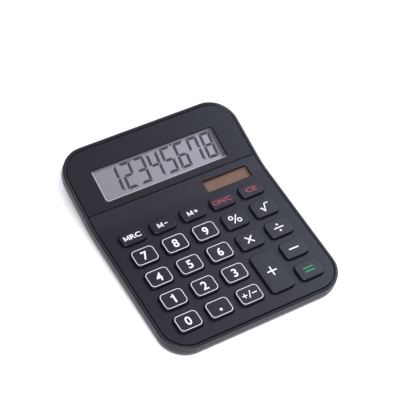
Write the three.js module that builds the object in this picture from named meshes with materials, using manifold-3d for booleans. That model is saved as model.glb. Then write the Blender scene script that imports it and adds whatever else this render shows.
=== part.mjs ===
// Sloped desk calculator: moulded case, inlaid face, twenty-four push keys, liquid crystal display.
// Millimetres, +Z up, +Y to the back; the rubber feet stand on z = 0 and the case is centred on x = 0.
import * as THREE from 'three';
import { mergeVertices } from 'three/addons/utils/BufferGeometryUtils.js';
import Module from 'manifold-3d';

const wasm = await Module();
wasm.setup();

// ---------------------------------------------------------------- case sizes
const CASE_HALF_WIDTH = 52.45;
const FACE_LENGTH = 129;          // measured along the face, front edge to back edge
const CASE_CORNER = 15.5;
const KEYPAD_TILT = 3;            // degrees, keypad face above the table
const DISPLAY_TILT = 13.8;        // degrees, display face above the keypad face
const BEND_AT = 84.4;             // where the two faces would cross
const BEND_RADIUS = 50;
const BEND_STEPS = 6;
const CORNER_STEPS = 8;
const CLEAR = 0.3;                // gap between fitted pieces
const HAIR = 0.15;                // gap between pieces that bear on each other

// rim, groove and inlaid plates
const RIM_WIDTH = 1.75;
const RIM_ROUND = 0.55;
const RIM_HEIGHT = 2.3;
const GROOVE = 0.45;
const PLATE = 1.4;                // thickness of the inlaid plates
const PLATE_EDGE = 0.2;
const SEAM_AT = 91.2;             // line between the keypad plate and the display plate
const SEAM_GAP = 0.3;
const LEDGE_WIDTH = 2.85;
const LEDGE_THICK = 1.6;
const LIP_THICK = 1.25;
const LIP_DEPTH = 4;
const BEYOND = 1;                 // how far a cutter runs past the face it opens

// lower shell
const WALL = 1.5;
const FLOOR = 1.6;
const BELT = 4.8;                 // depth of the upright part of the side wall
const CHAMFER = 0.7;
const CHAMFER_DROP = 2.6;
const BASE_SIDE_INSET = 9.5;
const BASE_FRONT_INSET = 8;
const BASE_BACK_INSET = 10;
const BASE_CORNER = 8;
const FOOT_DROP = 0.8;
const FOOT_RADIUS = 4;
const FOOT_SUNK = 0.6;
const FOOT_EDGE = 0.4;
const FOOT_X = 34;
const FOOT_FRONT = 16;            // from the front and back edges of the case
const FOOT_BACK = 24;

// keys
const GRID_X = 0.25;              // middle of the key columns, right of the middle of the case
const COLUMN_PITCH = 18;
const ROW_PITCH = 14.5;
const FIRST_ROW = 14.5;           // front edge to the middle of the first row
const MEMORY_ROW = 71.2;
const KEY_HALF_WIDTH = 6.8;
const KEY_HALF_HEIGHT = 5.15;
const MEMORY_HALF_HEIGHT = 4;
const KEY_CORNER = 2.6;
const KEY_RISE = 1.5;
const KEY_BEVEL = 0.3;
const KEY_FLANGE = 0.9;
const KEY_FLANGE_THICK = 0.8;
const KEY_STEPS = 4;
const KEY_TRAVEL = 0.9;
const KEY_GAP = 0.35;

// rubber mat and circuit board below the keys
const DOME_HEIGHT = 0.6;
const DOME_TOP = 2.4;
const DOME_BASE = 3.4;
const DOME_STEPS = 10;
const MAT = 0.7;
const MAT_HALF_WIDTH = 42.4;
const BOARD = 1;
const BOARD_HALF_WIDTH = 41.4;
const BOARD_START = 8.6;
const BOARD_END = 79;
const BOARD_CORNER = 7;
const UNDER_BOARD = 0.41;         // room between the board's front edge and the floor
const CHIP_X = 4;
const CHIP_AT = 56;
const CHIP_RADIUS = 4.4;
const CHIP_HEIGHT = 1.1;
const CAPACITOR_X = 16;
const CAPACITOR_AT = 70;
const CAPACITOR_RADIUS = 2;
const CAPACITOR_HEIGHT = 1.9;
const CAPACITOR_EDGE = 0.2;

// display
const LCD_HALF_WIDTH = 36.9;
const LCD_OFFSET = -0.8;          // from the middle of the key columns
const LCD_FROM = 95.4;
const LCD_TO = 114.5;
const LCD_CORNER = 1.5;
const LENS = 0.8;
const LENS_SINK = 0.55;
const CELL_MARGIN = 2.6;          // display glass beyond its opening
const CELL_THICK = 1.8;
const GLASS_CORNER = 0.3;
const RIBBON_WIDTH = 56;
const RIBBON_THICK = 0.3;
const RIBBON_GRIP = 4;            // length held under the display glass
const RIBBON_LANDING = 5;         // length held under the board
const RIBBON_TURN = 1.5;

// solar cell
const SOLAR_X = 28.85;            // from the middle of the key columns
const SOLAR_AT = 83.4;
const SOLAR_WIDTH = 27.1;
const SOLAR_HEIGHT = 7;
const SOLAR_THICK = 1;
const SOLAR_MARGIN = 1.4;
const SOLAR_CORNER = 0.6;

// screws
const SCREW_X = 27;
const SCREW_ROWS = [36.25, 65.2];
const POST_RADIUS = 1.75;
const SCREW_RADIUS = 0.75;
const SCREW_HEAD = 1.8;
const SCREW_HEAD_THICK = 0.9;
const SCREW_BITE = 3.2;
const SCREW_POINT = 0.6;
const CROSS_HALF = 1.1;           // half length of the cross slot in the head
const CROSS_WIDTH = 0.36;
const SEAT_FLOOR = 0.4;

// button cell, its pocket and its door
const BUTTON_RADIUS = 5.8;
const BUTTON_THICK = 3.05;
const BUTTON_EDGE = 0.4;
const BUTTON_CAP_INSET = 0.9;
const BUTTON_CAP = 0.5;
const POCKET_X = -17;
const DOOR_HALF_WIDTH = 9;
const DOOR_LENGTH = 19;
const DOOR_THICK = 1;
const RIB_COUNT = 3;
const RIB_PITCH = 1.6;
const RIB_WIDTH = 0.6;
const RIB_HALF_LENGTH = 4;
const RIB_RISE = 0.3;
const RIB_FROM_EDGE = 2.4;
const CONTACT = 0.3;
const CONTACT_HALF_WIDTH = 3.2;
const CONTACT_REACH = 3.4;        // past the middle of the button cell
const POCKET_WALL = 1.6;

const RAD = Math.PI / 180;
const tilt = KEYPAD_TILT * RAD;
const bend = DISPLAY_TILT * RAD;
const bendStart = BEND_AT - BEND_RADIUS * Math.tan(bend / 2);
const bendLength = BEND_RADIUS * bend;
const bendEnd = bendStart + bendLength;

// Depths below the face of the stack under the keys. The stack stands on the floor of
// the lower shell, so it sets the height of the rim at the front edge.
const flangeTop = -PLATE - CLEAR;
const flangeLow = flangeTop - KEY_FLANGE_THICK;
const domeTop = flangeLow - KEY_TRAVEL - CLEAR;
const matTop = domeTop - DOME_HEIGHT;
const matLow = matTop - MAT;
const boardTop = matLow - HAIR;
const boardLow = boardTop - BOARD;
const postLow = boardLow - CLEAR;
const floorTop = FOOT_DROP + FLOOR;
const frontHeight = floorTop + UNDER_BOARD - boardLow * Math.cos(tilt) - BOARD_START * Math.sin(tilt);

// ---------------------------------------------------------------- the curved face
// A place on the face is given by x, by s measured along the face from the front edge,
// and by n measured square to the face; s = n = 0 is the top of the front rim.
function profile(s, n) {
  let y = s;
  let z = n;
  if (s > bendStart) {
    const a = Math.min(s - bendStart, bendLength) / BEND_RADIUS;
    const rest = Math.max(0, s - bendEnd);
    y = bendStart + (BEND_RADIUS - n) * Math.sin(a) + rest * Math.cos(a);
    z = BEND_RADIUS - (BEND_RADIUS - n) * Math.cos(a) + rest * Math.sin(a);
  }
  return [y * Math.cos(tilt) - z * Math.sin(tilt), y * Math.sin(tilt) + z * Math.cos(tilt)];
}
const frontEdge = profile(0, -RIM_ROUND)[0];
const backEdge = profile(FACE_LENGTH, -BELT)[0];
const middleY = (frontEdge + backEdge) / 2;

function onFace(x, s, n) {
  const [y, z] = profile(s, n);
  return [x, y - middleY, z + frontHeight];
}
function slopeAt(s) {
  return tilt + Math.min(Math.max(s - bendStart, 0), bendLength) / BEND_RADIUS;
}
const bendStations = [];
for (let i = 0; i <= BEND_STEPS; i += 1) {
  bendStations.push(bendStart + (bendLength * i) / BEND_STEPS);
}

// ---------------------------------------------------------------- solids
function solid(positions, index) {
  const geometry = new THREE.BufferGeometry();
  geometry.setAttribute('position', new THREE.Float32BufferAttribute(positions.flat(), 3));
  geometry.setIndex(index);
  return toManifold(geometry);
}
function toManifold(geometry) {
  const bare = new THREE.BufferGeometry();
  bare.setAttribute('position', geometry.getAttribute('position'));
  if (geometry.index) bare.setIndex(geometry.index);
  const welded = mergeVertices(bare, 1e-4);
  return new wasm.Manifold(new wasm.Mesh({
    numProp: 3,
    vertProperties: new Float32Array(welded.getAttribute('position').array),
    triVerts: new Uint32Array(welded.index.array),
  }));
}
function join(solids) {
  return solids.reduce((a, b) => a.add(b));
}

// Rings with equal point counts are joined by quads; the ends are closed by strips
// across x when the ring is symmetric, so that the lid follows the bend.
function loft(rings, closed) {
  const count = rings[0].length;
  const index = [];
  const last = closed ? rings.length : rings.length - 1;
  for (let r = 0; r < last; r += 1) {
    const lower = r * count;
    const upper = ((r + 1) % rings.length) * count;
    for (let i = 0; i < count; i += 1) {
      const j = (i + 1) % count;
      index.push(lower + i, lower + j, upper + j, lower + i, upper + j, upper + i);
    }
  }
  if (!closed) {
    const top = (rings.length - 1) * count;
    for (let i = 0; i < count / 2 - 1; i += 1) {
      const j = count - 1 - i;
      index.push(i, j, j - 1, i, j - 1, i + 1);
      index.push(top + i, top + j - 1, top + j, top + i, top + i + 1, top + j - 1);
    }
  }
  return solid(rings.flat(), index);
}

// Outline of a rounded rectangle, counter-clockwise from the middle of the front edge,
// mirrored left to right; extra stations are placed along both long sides.
function outline(halfWidth, from, to, radii, steps, stations = []) {
  const [frontRadius, backRadius] = radii;
  const right = [];
  const arc = (cs, radius, start) => {
    const n = radius > 0 ? steps : 0;
    for (let i = 0; i <= n; i += 1) {
      const a = start + (n ? (Math.PI / 2) * (i / n) : 0);
      right.push([halfWidth - radius + radius * Math.cos(a), cs + radius * Math.sin(a)]);
    }
  };
  arc(from + frontRadius, frontRadius, -Math.PI / 2);
  const inside = stations.filter((s) => s > from + frontRadius + 0.01 && s < to - backRadius - 0.01);
  for (const s of inside) right.push([halfWidth, s]);
  arc(to - backRadius, backRadius, 0);
  return right.concat(right.map(([x, s]) => [-x, s]).reverse());
}
function faceRing(points, n, dx = 0) {
  return points.map(([x, s]) => onFace(x + dx, s, n));
}
function caseRing(inset, n) {
  const radius = CASE_CORNER - inset;
  const points = outline(CASE_HALF_WIDTH - inset, inset, FACE_LENGTH - inset,
    [radius, radius], CORNER_STEPS, bendStations);
  return faceRing(points, n);
}

// A block square to the face at (x, s): rounded corners, between two depths.
function faceBlock(x, s, halfWidth, halfHeight, radius, low, high, steps = KEY_STEPS, grow = 0) {
  const ring = (n, extra) => outline(halfWidth + extra, -halfHeight - extra, halfHeight + extra,
    [radius + extra, radius + extra], steps).map(([px, py]) => [px, py, n]);
  return placed(loft([ring(low, 0), ring(high, grow)], false), x, s);
}
function placed(body, x, s) {
  const [px, py, pz] = onFace(x, s, 0);
  return body.rotate([slopeAt(s) / RAD, 0, 0]).translate([px, py, pz]);
}
function box(x0, x1, y0, y1, z0, z1) {
  const geometry = new THREE.BoxGeometry(x1 - x0, y1 - y0, z1 - z0);
  geometry.translate((x0 + x1) / 2, (y0 + y1) / 2, (z0 + z1) / 2);
  return toManifold(geometry);
}
// Turned about the upright axis from [radius, height] pairs that start and end on it.
function turned(pairs, segments) {
  const points = pairs.map(([r, z]) => new THREE.Vector2(r, z));
  const geometry = new THREE.LatheGeometry(points, segments);
  geometry.rotateX(Math.PI / 2);
  return toManifold(geometry);
}
function rod(radius, low, high, segments = 16) {
  return turned([[0, low], [radius, low], [radius, high], [0, high]], segments);
}

const group = new THREE.Group();
function piece(name, body, color, roughness, metalness) {
  const mesh = body.getMesh();
  const geometry = new THREE.BufferGeometry();
  geometry.setAttribute('position', new THREE.BufferAttribute(mesh.vertProperties, 3));
  geometry.setIndex(new THREE.BufferAttribute(mesh.triVerts, 1));
  geometry.computeVertexNormals();
  const material = new THREE.MeshStandardMaterial({ color, roughness, metalness });
  const node = new THREE.Mesh(geometry, material);
  node.name = name;
  group.add(node);
}

// ---------------------------------------------------------------- key places
const rowAt = (row) => FIRST_ROW + ROW_PITCH * row;
const columnAt = (column) => GRID_X + COLUMN_PITCH * (column - 2);
const keys = [];
function addKey(name, column, s, halfHeight) {
  keys.push({ name, x: columnAt(column), s, halfHeight });
}
['mrc', 'm_minus', 'm_plus', 'on_c', 'ce'].forEach((name, column) => {
  addKey(name, column, MEMORY_ROW, MEMORY_HALF_HEIGHT);
});
const block = [
  ['0', 'point', 'sign', null, 'equals'],
  ['1', '2', '3', null, 'minus'],
  ['4', '5', '6', 'multiply', 'divide'],
  ['7', '8', '9', 'percent', 'root'],
];
block.forEach((names, row) => {
  names.forEach((name, column) => {
    if (name) addKey(name, column, rowAt(row), KEY_HALF_HEIGHT);
  });
});
addKey('plus', 3, (rowAt(0) + rowAt(1)) / 2, KEY_HALF_HEIGHT + ROW_PITCH / 2);

// ---------------------------------------------------------------- case frame
// Ring of the front moulding: rounded rim, ledge under the plates, lip inside the lower shell.
const lipInner = RIM_WIDTH + LIP_THICK;
const ledgeInner = RIM_WIDTH + LEDGE_WIDTH;
const ledgeTop = -PLATE - HAIR;
const frameSection = [
  [RIM_WIDTH, 0],
  [RIM_WIDTH, ledgeTop],
  [ledgeInner, ledgeTop],
  [ledgeInner, ledgeTop - LEDGE_THICK],
  [lipInner, ledgeTop - LEDGE_THICK],
  [lipInner, -LIP_DEPTH],
  [RIM_WIDTH, -LIP_DEPTH],
  [RIM_WIDTH, -RIM_HEIGHT],
  [HAIR, -RIM_HEIGHT],
  [0, -RIM_HEIGHT + HAIR],
  [0, -RIM_ROUND],
  [RIM_ROUND * 0.3, -RIM_ROUND * 0.3],
  [RIM_ROUND, 0],
];
const frame = loft(frameSection.map(([d, n]) => caseRing(d, n)), true);
piece('case_frame', frame, 0x34353b, 0.55, 0);

// ---------------------------------------------------------------- inlaid plates
const plateInset = RIM_WIDTH + GROOVE;
const plateRadius = CASE_CORNER - plateInset;
function plate(from, to, radii) {
  const ring = (inset, n) => faceRing(outline(CASE_HALF_WIDTH - plateInset - inset, from + inset,
    to - inset, radii.map((r) => Math.max(0, r - inset)), CORNER_STEPS, bendStations), n);
  return loft([ring(0, -PLATE), ring(0, -PLATE_EDGE), ring(PLATE_EDGE, 0)], false);
}
function postAt(x, s) {
  const post = rod(POST_RADIUS, postLow, -PLATE / 2);
  const pilot = rod(SCREW_RADIUS + HAIR / 2, postLow - BEYOND, postLow + SCREW_BITE + CLEAR, 12);
  return placed(post.subtract(pilot), x, s);
}
const screwPlaces = SCREW_ROWS.flatMap((s) => [[-SCREW_X, s], [SCREW_X, s]]);
const throughLow = -PLATE - BEYOND;

let keypad = plate(plateInset, SEAM_AT - SEAM_GAP / 2, [plateRadius, 0]);
const keyHoles = keys.map((key) => faceBlock(key.x, key.s, KEY_HALF_WIDTH + KEY_GAP,
  key.halfHeight + KEY_GAP, KEY_CORNER + KEY_GAP, throughLow, BEYOND));
keypad = keypad.subtract(join(keyHoles));
const solarX = GRID_X + SOLAR_X;
keypad = keypad.subtract(faceBlock(solarX, SOLAR_AT, SOLAR_WIDTH / 2, SOLAR_HEIGHT / 2,
  SOLAR_CORNER, throughLow, BEYOND, 2));
keypad = join([keypad, ...screwPlaces.map(([x, s]) => postAt(x, s))]);
piece('keypad_plate', keypad, 0x3d3e46, 0.5, 0);

const lcdX = GRID_X + LCD_OFFSET;
const lcdAt = (LCD_FROM + LCD_TO) / 2;
const lcdHalfHeight = (LCD_TO - LCD_FROM) / 2;
const lcdOpening = faceBlock(lcdX, lcdAt, LCD_HALF_WIDTH, lcdHalfHeight, LCD_CORNER,
  throughLow, BEYOND);
const displayPlate = plate(SEAM_AT + SEAM_GAP / 2, FACE_LENGTH - plateInset, [0, plateRadius]);
piece('display_plate', displayPlate.subtract(lcdOpening), 0x33343b, 0.4, 0);

// ---------------------------------------------------------------- display
const lens = faceBlock(lcdX, lcdAt, LCD_HALF_WIDTH - CLEAR, lcdHalfHeight - CLEAR,
  LCD_CORNER - CLEAR, -LENS_SINK - LENS, -LENS_SINK);
piece('display_lens', lens, 0xc9ccd2, 0.1, 0);

const cellTop = -PLATE - CLEAR;
const cellLow = cellTop - CELL_THICK;
const glass = faceBlock(lcdX, lcdAt, LCD_HALF_WIDTH + CELL_MARGIN,
  lcdHalfHeight + CELL_MARGIN, GLASS_CORNER, cellLow, cellTop, 1);
piece('display_glass', glass, 0xa4a1aa, 0.3, 0);

// Flat ribbon from the near edge of the display glass down to the circuit board.
const ribbonPath = [
  profile(LCD_FROM + RIBBON_GRIP, cellLow - HAIR),
  profile(LCD_FROM - CELL_MARGIN - RIBBON_TURN, cellLow - HAIR),
  profile(BOARD_END + RIBBON_TURN, boardLow - HAIR),
  profile(BOARD_END - RIBBON_LANDING, boardLow - HAIR),
];
const ribbonShape = new THREE.Shape();
ribbonPath.forEach(([y, z], i) => {
  if (i) ribbonShape.lineTo(y, z);
  else ribbonShape.moveTo(y, z);
});
ribbonPath.slice().reverse().forEach(([y, z]) => ribbonShape.lineTo(y, z - RIBBON_THICK));
const ribbon = new THREE.ExtrudeGeometry(ribbonShape, { depth: RIBBON_WIDTH, bevelEnabled: false });
ribbon.rotateY(Math.PI / 2);
ribbon.rotateX(Math.PI / 2);
ribbon.translate(-RIBBON_WIDTH / 2, -middleY, frontHeight);
piece('display_ribbon', toManifold(ribbon), 0xb98a4a, 0.5, 0);

// ---------------------------------------------------------------- solar cell
const solar = faceBlock(solarX, SOLAR_AT, SOLAR_WIDTH / 2 + SOLAR_MARGIN, SOLAR_HEIGHT / 2
  + SOLAR_MARGIN, GLASS_CORNER, -PLATE - CLEAR - SOLAR_THICK, -PLATE - CLEAR, 1);
piece('solar_cell', solar, 0x8a6450, 0.35, 0);

// ---------------------------------------------------------------- keys
for (const key of keys) {
  const ring = (extra, n) => outline(KEY_HALF_WIDTH + extra, -key.halfHeight - extra,
    key.halfHeight + extra, [KEY_CORNER + extra, KEY_CORNER + extra], KEY_STEPS)
    .map(([x, y]) => [x, y, n]);
  const cap = loft([
    ring(KEY_FLANGE, flangeLow),
    ring(KEY_FLANGE, flangeTop),
    ring(0, flangeTop),
    ring(0, KEY_RISE - KEY_BEVEL),
    ring(-KEY_BEVEL, KEY_RISE),
  ], false);
  piece(`key_${key.name}`, placed(cap, key.x, key.s), 0x3a3b42, 0.45, 0);
}

// ---------------------------------------------------------------- rubber mat
// One silicone sheet with a low dome under every key; the plus key has two.
const matMiddle = (BOARD_START + BOARD_END) / 2;
const matHalf = (BOARD_END - BOARD_START) / 2;
const domePlaces = keys.flatMap((key) => {
  if (key.name === 'plus') return [[key.x, rowAt(0)], [key.x, rowAt(1)]];
  return [[key.x, key.s]];
});
const dome = turned([[0, matTop - MAT / 2], [DOME_BASE, matTop - MAT / 2], [DOME_BASE, matTop],
  [DOME_TOP, domeTop], [0, domeTop]], DOME_STEPS);
const matHoles = screwPlaces.map(([x, s]) => placed(rod(POST_RADIUS + 2 * CLEAR, matLow - BEYOND,
  domeTop + BEYOND, 12), x, s));
const mat = join([
  faceBlock(0, matMiddle, MAT_HALF_WIDTH, matHalf, BOARD_CORNER, matLow, matTop),
  ...domePlaces.map(([x, s]) => placed(dome, x, s)),
]).subtract(join(matHoles));
piece('key_mat', mat, 0x8d9092, 0.8, 0);

// ---------------------------------------------------------------- circuit board
const boardHoles = screwPlaces.map(([x, s]) => placed(rod(POST_RADIUS + CLEAR, boardLow - BEYOND,
  boardTop + BEYOND, 12), x, s));
const board = faceBlock(0, matMiddle, BOARD_HALF_WIDTH, matHalf, BOARD_CORNER, boardLow, boardTop)
  .subtract(join(boardHoles));
piece('circuit_board', board, 0x2f6b45, 0.5, 0);

// Resin drop over the processor, and the small electrolytic capacitor beside it.
const underBoard = boardLow - HAIR / 3;
const blob = turned([[0, underBoard - CHIP_HEIGHT], [CHIP_RADIUS * 0.6, underBoard - CHIP_HEIGHT * 0.8],
  [CHIP_RADIUS * 0.9, underBoard - CHIP_HEIGHT * 0.4], [CHIP_RADIUS, underBoard],
  [0, underBoard]], 18);
piece('chip_resin', placed(blob, CHIP_X, CHIP_AT), 0x15151a, 0.35, 0);
const canLow = underBoard - CAPACITOR_HEIGHT;
const capacitor = turned([[0, canLow], [CAPACITOR_RADIUS - CAPACITOR_EDGE, canLow],
  [CAPACITOR_RADIUS, canLow + CAPACITOR_EDGE], [CAPACITOR_RADIUS, underBoard], [0, underBoard]], 16);
piece('capacitor', placed(capacitor, CAPACITOR_X, CAPACITOR_AT), 0x4c3f7a, 0.3, 0.4);

// ---------------------------------------------------------------- lower shell
const baseFront = frontEdge - middleY + BASE_FRONT_INSET;
const baseBack = backEdge - middleY - BASE_BACK_INSET;
const baseHalf = CASE_HALF_WIDTH - BASE_SIDE_INSET;
function baseRing(inset, z) {
  const radius = BASE_CORNER - inset;
  const along = bendStations.map((s) => onFace(0, s, -BELT)[1]);
  const points = outline(baseHalf - inset, baseFront + inset, baseBack - inset,
    [radius, radius], CORNER_STEPS, along);
  return points.map(([x, y]) => [x, y, z]);
}
const shellTop = -RIM_HEIGHT - HAIR;
const shell = loft([
  baseRing(0, FOOT_DROP),
  caseRing(CHAMFER, -BELT - CHAMFER_DROP),
  caseRing(0, -BELT),
  caseRing(0, shellTop - HAIR),
  caseRing(HAIR, shellTop),
  caseRing(WALL, shellTop),
  caseRing(WALL, -BELT),
  baseRing(WALL, floorTop),
], false);

// Pocket for the button cell, open to the slot in which the door slides out to the back.
const doorFront = baseBack - DOOR_LENGTH;
const slotTop = FOOT_DROP + DOOR_THICK + CLEAR;
const buttonLow = slotTop + HAIR;
const buttonTop = buttonLow + BUTTON_THICK;
const pocketTop = buttonTop + CLEAR + CONTACT + CLEAR;
const pocketHalf = BUTTON_RADIUS + CONTACT + 2 * CLEAR;
const pocketY = doorFront + POCKET_WALL + pocketHalf;
const pocketBlock = box(POCKET_X - DOOR_HALF_WIDTH - POCKET_WALL, POCKET_X + DOOR_HALF_WIDTH + POCKET_WALL,
  doorFront - POCKET_WALL, baseBack, FOOT_DROP + HAIR, pocketTop + POCKET_WALL);
const insideShell = loft([baseRing(0, FOOT_DROP), caseRing(CHAMFER, -BELT - CHAMFER_DROP),
  caseRing(0, -BELT), caseRing(0, shellTop)], false);
const slot = box(POCKET_X - DOOR_HALF_WIDTH - CLEAR, POCKET_X + DOOR_HALF_WIDTH + CLEAR,
  doorFront - CLEAR, baseBack + BASE_BACK_INSET, FOOT_DROP - BEYOND, slotTop);
const pocket = box(POCKET_X - pocketHalf, POCKET_X + pocketHalf,
  pocketY - pocketHalf, pocketY + pocketHalf, FOOT_DROP, pocketTop);

// Screw bosses with a sunk seat for each head, and the shallow seats of the feet.
const screwSeat = (s) => {
  const reach = (frontHeight + s * Math.sin(tilt) - FOOT_DROP) / Math.cos(tilt);
  return -reach + SCREW_HEAD_THICK + 2 * CLEAR;
};
const bosses = screwPlaces.map(([x, s]) => placed(rod(POST_RADIUS + WALL,
  screwSeat(s) - SEAT_FLOOR, postLow - CLEAR), x, s).intersect(insideShell));
const seats = screwPlaces.map(([x, s]) => {
  const seat = rod(SCREW_HEAD + CLEAR, screwSeat(s) - SCREW_HEAD_THICK - 3 * BEYOND, screwSeat(s));
  const way = rod(SCREW_RADIUS + CLEAR, screwSeat(s) - BEYOND, postLow + BEYOND, 12);
  return placed(seat.add(way), x, s);
});
const footPlaces = [
  ['foot_front_left', -FOOT_X, frontEdge - middleY + FOOT_FRONT],
  ['foot_front_right', FOOT_X, frontEdge - middleY + FOOT_FRONT],
  ['foot_back_left', -FOOT_X, backEdge - middleY - FOOT_BACK],
  ['foot_back_right', FOOT_X, backEdge - middleY - FOOT_BACK],
];
const footSeats = footPlaces.map(([, x, y]) => rod(FOOT_RADIUS + CLEAR, FOOT_DROP - BEYOND,
  FOOT_DROP + FOOT_SUNK, 24).translate([x, y, 0]));
const lowerShell = join([shell, pocketBlock.intersect(insideShell), ...bosses])
  .subtract(join([slot, pocket, ...seats, ...footSeats]));
piece('lower_shell', lowerShell, 0x2e2f35, 0.6, 0);

// ---------------------------------------------------------------- screws and feet
screwPlaces.forEach(([x, s], i) => {
  const head = screwSeat(s) - HAIR;
  const tip = postLow + SCREW_BITE;
  const screw = turned([[0, head - SCREW_HEAD_THICK], [SCREW_HEAD * 0.8, head - SCREW_HEAD_THICK],
    [SCREW_HEAD, head - SCREW_HEAD_THICK * 0.6], [SCREW_HEAD, head], [SCREW_RADIUS, head],
    [SCREW_RADIUS, tip - SCREW_POINT], [0, tip]], 12);
  const crossLow = head - SCREW_HEAD_THICK - BEYOND;
  const crossTop = head - SCREW_HEAD_THICK / 2;
  const arm = CROSS_WIDTH / 2;
  const cross = box(-CROSS_HALF, CROSS_HALF, -arm, arm, crossLow, crossTop)
    .add(box(-arm, arm, -CROSS_HALF, CROSS_HALF, crossLow, crossTop));
  piece(`screw_${i + 1}`, placed(screw.subtract(cross), x, s), 0x8f9196, 0.35, 0.9);
});
for (const [name, x, y] of footPlaces) {
  const foot = turned([[0, 0], [FOOT_RADIUS - FOOT_EDGE, 0], [FOOT_RADIUS, FOOT_EDGE],
    [FOOT_RADIUS, FOOT_DROP + FOOT_SUNK - HAIR], [0, FOOT_DROP + FOOT_SUNK - HAIR]], 24);
  piece(name, foot.translate([x, y, 0]), 0x1d1d20, 0.9, 0);
}

// ---------------------------------------------------------------- battery
const capRadius = BUTTON_RADIUS - BUTTON_CAP_INSET;
const button = turned([[0, buttonLow], [BUTTON_RADIUS - BUTTON_EDGE, buttonLow],
  [BUTTON_RADIUS, buttonLow + BUTTON_EDGE], [BUTTON_RADIUS, buttonTop - BUTTON_CAP],
  [capRadius, buttonTop - BUTTON_CAP], [capRadius - BUTTON_CAP / 2, buttonTop], [0, buttonTop]], 28);
piece('button_cell', button.translate([POCKET_X, pocketY, 0]), 0xb9bbc0, 0.25, 1);
const contactTop = buttonTop + HAIR + CONTACT;
const upper = box(-CONTACT_HALF_WIDTH, CONTACT_HALF_WIDTH, -pocketHalf + HAIR, CONTACT_REACH,
  contactTop - CONTACT, contactTop);
piece('contact_negative', upper.translate([POCKET_X, pocketY, 0]), 0xc8c9c4, 0.3, 1);
const side = box(BUTTON_RADIUS + HAIR, BUTTON_RADIUS + HAIR + CONTACT, -CONTACT_HALF_WIDTH,
  CONTACT_HALF_WIDTH, buttonLow + BUTTON_EDGE, buttonTop - BUTTON_CAP - HAIR);
piece('contact_positive', side.translate([POCKET_X, pocketY, 0]), 0xc8c9c4, 0.3, 1);

// Door: flush with the base, with finger ribs near its back edge.
const ribs = [];
for (let i = 0; i < RIB_COUNT; i += 1) {
  const ribBack = baseBack - RIB_FROM_EDGE - i * RIB_PITCH;
  ribs.push(box(-RIB_HALF_LENGTH, RIB_HALF_LENGTH, ribBack - RIB_WIDTH, ribBack,
    FOOT_DROP - RIB_RISE, FOOT_DROP + RIB_RISE));
}
const door = join([box(-DOOR_HALF_WIDTH, DOOR_HALF_WIDTH, doorFront, baseBack - CLEAR, FOOT_DROP,
  FOOT_DROP + DOOR_THICK), ...ribs]);
piece('battery_door', door.translate([POCKET_X, 0, 0]), 0x2e2f35, 0.6, 0);

export default group;
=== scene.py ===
import math

import bmesh
import bpy
from mathutils import Matrix, Vector


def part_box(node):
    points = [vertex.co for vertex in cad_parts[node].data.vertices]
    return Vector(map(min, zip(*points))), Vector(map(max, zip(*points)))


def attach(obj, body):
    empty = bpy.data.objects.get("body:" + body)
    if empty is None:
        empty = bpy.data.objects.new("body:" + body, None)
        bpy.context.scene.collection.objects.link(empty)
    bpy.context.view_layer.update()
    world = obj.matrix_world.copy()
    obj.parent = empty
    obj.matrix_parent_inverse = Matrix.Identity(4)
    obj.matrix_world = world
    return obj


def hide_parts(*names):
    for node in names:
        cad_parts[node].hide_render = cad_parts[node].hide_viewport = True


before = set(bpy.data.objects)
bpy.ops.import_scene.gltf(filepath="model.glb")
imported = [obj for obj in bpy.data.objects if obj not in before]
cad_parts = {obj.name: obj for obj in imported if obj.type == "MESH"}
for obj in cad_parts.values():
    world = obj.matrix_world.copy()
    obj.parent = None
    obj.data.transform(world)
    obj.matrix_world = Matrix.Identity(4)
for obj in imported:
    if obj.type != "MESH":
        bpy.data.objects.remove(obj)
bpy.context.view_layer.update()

# ------------------------------------------------------------------ camera and studio
# A long lens held above the near left corner and turned a little about its own axis. The
# table is a sheet of opal acrylic lit faintly from below; one soft box stands beside the
# camera and a second, weaker one beyond the far right corner.
CAMERA_PLACE = Vector((-0.31433, -0.40293, 0.62666))
CAMERA_LOOK = Vector((0.39921, 0.51421, -0.75909))
CAMERA_ROLL = math.radians(8.9)
FILM_WIDTH = 36.0
FOCAL_LENGTH = 139.09
TABLE_REACH = 3.0

camera = bpy.data.objects.new("camera", bpy.data.cameras.new("camera"))
camera.data.sensor_width = FILM_WIDTH
camera.data.lens = FOCAL_LENGTH
camera.data.clip_start = 0.05
camera.data.clip_end = 20.0
aimed = CAMERA_LOOK.to_track_quat("-Z", "Y").to_matrix()
camera.matrix_world = Matrix.Translation(CAMERA_PLACE) @ (
    aimed @ Matrix.Rotation(CAMERA_ROLL, 3, "Z")).to_4x4()
bpy.context.scene.collection.objects.link(camera)
bpy.context.scene.camera = camera
bpy.context.scene.view_settings.view_transform = "Standard"


def linear(hex_colour):
    """An sRGB hex colour as linear red, green, blue and full alpha."""
    parts = [int(hex_colour[i:i + 2], 16) / 255 for i in (1, 3, 5)]
    return [c / 12.92 if c <= 0.04045 else ((c + 0.055) / 1.055) ** 2.4 for c in parts] + [1.0]


def add_node(owner, kind, settings=(), **sockets):
    """Adds a node to a material or a geometry tree: settings are its attributes, sockets its
    values or the outputs linked to it, by name or, as i0, i1 and so on, by place."""
    tree = getattr(owner, "node_tree", owner)
    node = tree.nodes.new(kind)
    for key, value in dict(settings).items():
        setattr(node, key, value)
    for key, value in sockets.items():
        socket = node.inputs[int(key[1:])] if key[0] == "i" and key[1:].isdigit() else \
            node.inputs[key.replace("_", " ")]
        if isinstance(value, bpy.types.NodeSocket):
            tree.links.new(value, socket)
        else:
            socket.default_value = value
    return node


def new_finish(name):
    """An empty material with its output node; returns the material and that node."""
    material = bpy.data.materials.new(name)
    material.use_nodes = True
    material.node_tree.nodes.clear()
    return material, add_node(material, "ShaderNodeOutputMaterial")


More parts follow.
